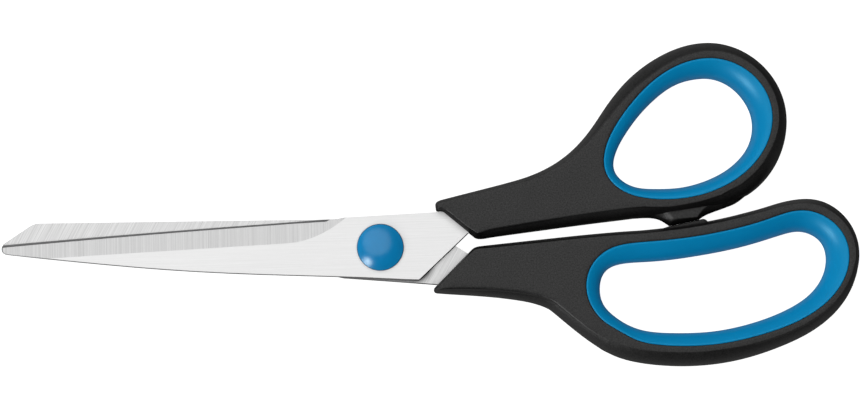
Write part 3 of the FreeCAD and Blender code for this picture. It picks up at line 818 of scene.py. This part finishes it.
# painted shade of the walls and cutting facets, ahead of the pivot and behind it
WALL_SHADE_AHEAD, WALL_SHADE_BEHIND = (0.34, 0.34, 0.345), (0.06, 0.06, 0.06)
BEVEL_CONTRAST = 0.45  # how strongly the bevel's grinding marks show
EVERYWHERE = (1.0, 0.9)  # a fade that is over long before the object begins


def marks(g, turn, fine, coarse, stretch):
    """Fine lines and broad bands that run in one direction; the same at every height."""
    lines = g.noise(fine, g.turned(-turn, (stretch, 1, 0)), detail=2, roughness=0.6)
    bands = g.noise(coarse, g.turned(-turn, (stretch * 2, 1, 0)), detail=2, roughness=0.5)
    return lines, bands


def steel(name, face, bevel, contrast, corner_shade, shade_x, shade_y):
    """Stainless steel: brushed flats and a cross-ground bevel, with walls and cutting facets
    painted dark as shade.

    face and bevel are the direction of the marks, in degrees from the X axis, and the tone.
    contrast is how strongly the flats' marks show. The last three arguments are the painted shade
    in the corners: how much of it there is, and where along X and Y it fades in, in metres.
    """
    g = Graph(name)
    level = g.math("ABSOLUTE", g.part(g.normal, 2))
    ground = g.spread(level, 1, 0, *BEVEL_LEVEL)  # 1 on the bevel, 0 on the flats
    wall = g.spread(level, 1, 0, *STEEL_WALL_LEVEL)  # 1 on walls and facets
    face_lines, face_bands = marks(g, face[0], 3600, 900, 0.016)
    bevel_lines, bevel_bands = marks(g, bevel[0], 3900, 900, 0.010)
    lines = g.add("Mix", inputs={0: ground, 2: face_lines, 3: bevel_lines})
    bands = g.add("Mix", inputs={0: ground, 2: face_bands, 3: bevel_bands})
    shade = g.math(
        "ADD", g.product(g.math("SUBTRACT", lines, 0.5), 1.6),
        g.product(g.math("SUBTRACT", bands, 0.5), 0.5),
    )
    shade = g.math("ADD", g.product(shade, g.spread(ground, contrast, BEVEL_CONTRAST)), 1.0)
    tone = g.mix(ground, (face[1],) * 3, (bevel[1],) * 3)
    colour = g.add("VectorMath", inputs={0: tone, "Scale": shade}, operation="SCALE")
    along, across = g.part(g.place, 0), g.part(g.place, 1)
    # painted shade: walls and cutting facets are coloured dark, darker behind the pivot, as a
    # painted reflection of dark surroundings
    wall_shade = g.mix(g.spread(along, 0, 1, *BEHIND_PIVOT), WALL_SHADE_AHEAD, WALL_SHADE_BEHIND)
    colour = g.mix(wall, colour, wall_shade)
    # painted shade: darker where other surfaces are close, in corners and beside walls, within the
    # given stretch of X and Y
    where = g.product(g.spread(along, 0, 1, *shade_x), g.spread(across, 0, 1, *shade_y))
    painted_corner_shade = g.product(g.spread(g.corners(0.0022, samples=12), corner_shade, 0, 0.5, 0.95), where)
    colour = g.mix(painted_corner_shade, colour, (0.02, 0.02, 0.02))
    roughness = g.math("ADD", g.spread(lines, 0.34, 0.48, *NOISE_RANGE), g.product(ground, 0.04))
    return g.finish(
        Base_Color=colour, Metallic=1.0, Roughness=roughness, Normal=g.bump(lines, 3.0, 0.35),
    )


def plated():
    """Bright zinc plating, turned marks round the pivot's axis."""
    g = Graph("pivot_steel")
    offset = g.add("VectorMath", inputs={0: g.place, 1: tuple(PIVOT * MM)}, operation="SUBTRACT")
    flat = g.add("VectorMath", inputs={0: offset, 1: (1, 1, 0)}, operation="MULTIPLY")
    radius = g.add("VectorMath", output=1, inputs={0: flat}, operation="LENGTH")
    rings = g.noise(1.0, g.add("CombineXYZ", inputs={0: g.product(radius, 5200)}), detail=4)
    cloud = g.noise(500, detail=3)
    colour = g.mix(g.spread(cloud, 0, 1, *NOISE_RANGE), (0.56, 0.57, 0.58), (0.68, 0.68, 0.67))
    return g.finish(
        Base_Color=colour, Metallic=1.0, Roughness=g.spread(rings, 0.18, 0.34, *NOISE_RANGE),
        Normal=g.bump(rings, 4.0, 0.4),
    )


PLASTIC, RUBBER, CAP, PLATED = plastic(), rubber(), gloss_cap(), plated()
# both blades get painted shade in their corners, set by the last three arguments
FRONT_STEEL = steel(
    "front_blade_steel", face=(1.5, 0.81), bevel=(91.0, 0.675), contrast=0.17,
    corner_shade=0.5, shade_x=(-0.006, -0.002), shade_y=EVERYWHERE,
)
BACK_STEEL = steel(
    "back_blade_steel", face=(62.0, 0.68), bevel=(91.0, 0.675), contrast=0.5,
    corner_shade=0.9, shade_x=(0.0015, -0.0005), shade_y=(-0.014, -0.0155),
)


def finish_piece(thing, material):
    """Gives a piece its one material, on the object where the mesh already has slots."""
    if thing.material_slots:
        for place in thing.material_slots:
            place.link = "OBJECT"
            place.material = material
    else:
        thing.data.materials.append(material)


for piece, material, body, node, slot in (
    (thumb_handle, PLASTIC, "thumb_half", "thumb_handle", "handle_plastic"),
    (finger_handle, PLASTIC, "finger_half", "finger_handle", "handle_plastic"),
    (thumb_lining, RUBBER, "thumb_half", "thumb_grip", "grip_rubber"),
    (finger_lining, RUBBER, "finger_half", "finger_grip", "grip_rubber"),
    (pivot_cap, CAP, "thumb_half", "pivot_cap", "cap_plastic"),
):
    finish_piece(piece, material)
    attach(piece, body)
    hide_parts(node)

for node, material, slot in (
    ("front_blade", FRONT_STEEL, "blade_steel"), ("back_blade", BACK_STEEL, "blade_steel"),
    ("pivot_screw", PLATED, "pivot_steel"), ("tension_washer", PLATED, "pivot_steel"),
    ("pivot_nut", PLATED, "pivot_steel"),
):
    finish_piece(frame["nodes"][node], material)


# ---- studio -------------------------------------------------------------------------------------

TABLE_RADIUS = 8.0  # metres, as are all lengths from here on
TABLE_DROP = 0.0002  # the table lies this far below the handles' backs
GLOW_NEAR, GLOW_FAR = 0.97, 0.42  # the table's glow round the object and far from it
GLOW_START, GLOW_END = 0.14, 1.1  # and the distances between which it changes
# paler walls: direction, how squarely towards it one starts and is full, its top, its brightness
STUDIO_WALLS = (
    ((0, -1, 0), 0.2, 0.8, 0.1, 0.30),
    ((-1, -0.3, 0), 0.5, 0.95, 0.6, 0.5),
    ((-0.62, 0.78, 0), 0.1, 0.95, 0.45, 0.42),
)


def floor():
    """A large pale table; the object takes its light from the lamps and the studio instead."""
    mesh = bpy.data.meshes.new("table")
    work = bmesh.new()
    bmesh.ops.create_circle(work, cap_ends=True, segments=96, radius=TABLE_RADIUS)
    work.to_mesh(mesh)
    work.free()
    table = bpy.data.objects.new("table", mesh)
    bpy.context.scene.collection.objects.link(table)
    table.location.z = -TABLE_DROP
    table.visible_glossy = table.visible_diffuse = False
    g = Graph("table_white")
    away = g.add("VectorMath", output=1, inputs={0: g.place}, operation="LENGTH")
    glow = g.spread(away, GLOW_NEAR, GLOW_FAR, GLOW_START, GLOW_END)
    mesh.materials.append(g.finish(
        Base_Color=(0.5, 0.5, 0.5), Roughness=0.9, Emission_Color=(1, 1, 1),
        Emission_Strength=glow,
    ))


def lamp(name, direction, distance, radius, radiance):
    """A round soft light that faces the object; radiance is its brightness as seen from there."""
    light = bpy.data.lights.new(name, "AREA")
    light.shape, light.size = "DISK", 2 * radius
    light.energy = radiance * math.pi * math.pi * radius**2
    lit = bpy.data.objects.new(name, light)
    lit.location = Vector(direction).normalized() * distance
    lit.rotation_euler = Vector(direction).to_track_quat("Z", "Y").to_euler()
    bpy.context.scene.collection.objects.link(lit)
    return lit


def world():
    """A dim studio: darker overhead and straight below, with three paler walls low down."""
    made = bpy.data.worlds.new("studio")
    made.use_nodes = True
    tree = made.node_tree

    def add(kind, **values):
        node = tree.nodes.new("ShaderNode" + kind)
        for key, value in values.items():
            if isinstance(value, bpy.types.NodeSocket):
                tree.links.new(value, node.inputs[key.replace("_", " ")])
            else:
                node.inputs[key.replace("_", " ")].default_value = value
        return node

    def fade(value, start, end, low=0.0, high=1.0):
        """From low to high as the value goes from start to end."""
        return add(
            "MapRange", Value=value, From_Min=start, From_Max=end, To_Min=low, To_Max=high,
        ).outputs[0]

    where = add("TexCoord").outputs["Generated"]
    height = add("SeparateXYZ", Vector=where).outputs[2]

    def towards(side, start, end, top):
        """1 towards a side of the studio, and 0 away from it and above a height."""
        along = tree.nodes.new("ShaderNodeVectorMath")
        along.operation, along.inputs[1].default_value = "DOT_PRODUCT", side
        tree.links.new(where, along.inputs[0])
        both = tree.nodes.new("ShaderNodeMath")
        both.operation = "MULTIPLY"
        tree.links.new(fade(along.outputs["Value"], start, end), both.inputs[0])
        tree.links.new(fade(height, top, 0.0), both.inputs[1])
        return both.outputs[0]

    ceiling = fade(height, 0.35, 0.6, low=0.12, high=0.055)
    tone = fade(height, -0.7, 0.1, low=0.09, high=ceiling)
    tone = fade(height, -0.98, -0.85, low=0.01, high=tone)
    for side, start, end, top, brightness in STUDIO_WALLS:
        tone = fade(towards(side, start, end, top), 0.0, 1.0, low=tone, high=brightness)
    tree.links.new(tone, tree.nodes["Background"].inputs[0])
    bpy.context.scene.world = made


def tilted(degrees, x, y):
    """The direction that leans from straight up by some degrees towards (x, y)."""
    length = math.hypot(x, y)
    lean = math.radians(degrees)
    return (math.sin(lean) * x / length, math.sin(lean) * y / length, math.cos(lean))


floor()
world()
lamp("overhead", tilted(19, -0.55, 0.83), distance=1.0, radius=0.83, radiance=1.13)
KEY_SIDE = tilted(56, -0.67, -0.74)
lamp("key", KEY_SIDE, distance=1.2, radius=0.24, radiance=3.0)
# a brighter middle of the key lamp, which shows in reflections only
lamp("glint", KEY_SIDE, distance=1.2, radius=0.19, radiance=16.0).visible_diffuse = False

VIEW_WIDTH = 0.2107  # what the picture spans, half way between the handles' middle and their face
VIEW_LEVEL = (MID_Z + TOP_Z) / 2 * MM
VIEW_CENTRE = (-0.00012, -0.00004)
view = bpy.data.cameras.new("view")
view.lens, view.sensor_width = 500.0, 36.0
view.clip_start, view.clip_end = 0.01, 50.0
camera = bpy.data.objects.new("view", view)
camera.location = (*VIEW_CENTRE, VIEW_LEVEL + VIEW_WIDTH * view.lens / view.sensor_width)
bpy.context.scene.collection.objects.link(camera)
bpy.context.scene.camera = camera
bpy.context.scene.view_settings.view_transform = "Standard"
